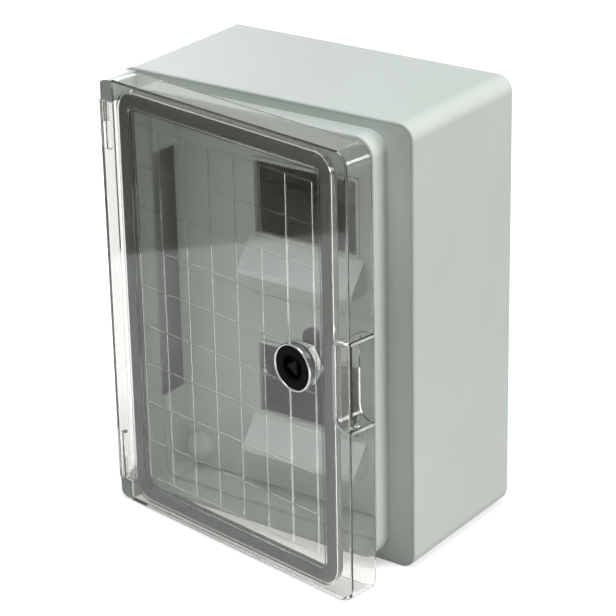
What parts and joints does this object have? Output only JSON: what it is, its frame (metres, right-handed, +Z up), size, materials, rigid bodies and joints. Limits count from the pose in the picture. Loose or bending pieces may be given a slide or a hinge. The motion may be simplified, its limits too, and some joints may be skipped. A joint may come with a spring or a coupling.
{
  "type": "distribution box",
  "caption": "Light grey wall-mounted distribution box with a clear hinged door standing ajar, a triangular key lock, an inner device cover and DIN rails.",
  "frame": {"origin": "centre of the flat back face that goes against the wall", "axes": "+Z up along the box's height, +Y into the wall, so the door faces -Y; +X is to the right of someone who faces the door"},
  "size_m": [0.21, 0.1641, 0.28],
  "materials": {
    "abs_grey": "fine moulded texture, light grey",
    "clear_door": "clear, slightly smoky, polished",
    "foam_grey": "matt foamed strip",
    "lock_black": "satin black",
    "driver_grey": "satin dark grey",
    "bright_ring": "bright",
    "nut_plastic": "pale, slightly translucent",
    "seal_rubber": "matt",
    "cam_grey": "moulded dark grey",
    "zinc_steel": "zinc plated",
    "pin_steel": "drawn"
  },
  "bodies": {
    "enclosure": {"rear_box": "abs_grey", "front_frame": "abs_grey", "cover_posts": "abs_grey", "inner_cover": "abs_grey", "cover_sills": "abs_grey", "cover_knobs": "abs_grey", "rail_posts": "abs_grey", "din_rail_upper": "zinc_steel", "din_rail_lower": "zinc_steel", "rail_screws": "zinc_steel", "rail_washers": "zinc_steel", "hinge_pin_upper": "pin_steel", "hinge_pin_lower": "pin_steel"},
    "door": {"door_panel": "clear_door", "door_gasket": "foam_grey", "lock_housing": "lock_black", "lock_bezel": "bright_ring", "lock_seal": "seal_rubber", "lock_nut": "nut_plastic", "nut_washer": "seal_rubber"},
    "lock_rotor": {"lock_core": "driver_grey", "core_o_ring": "seal_rubber", "lock_cam": "cam_grey", "cam_washer": "zinc_steel", "cam_screw": "zinc_steel"}
  },
  "joints": [
    {"name": "door_hinge", "type": "hinge", "parent": "enclosure", "child": "door", "pos_m": [-0.1, -0.12765, 0], "axis": [0, 0, -1], "range_deg": [-9.5, 110.5]},
    {"name": "lock_turn", "type": "hinge", "parent": "door", "child": "lock_rotor", "pos_m": [0.05785, -0.15746, 0.0015], "axis": [0.165, 0.9863, 0], "range_deg": [0, 90]}
  ]
}
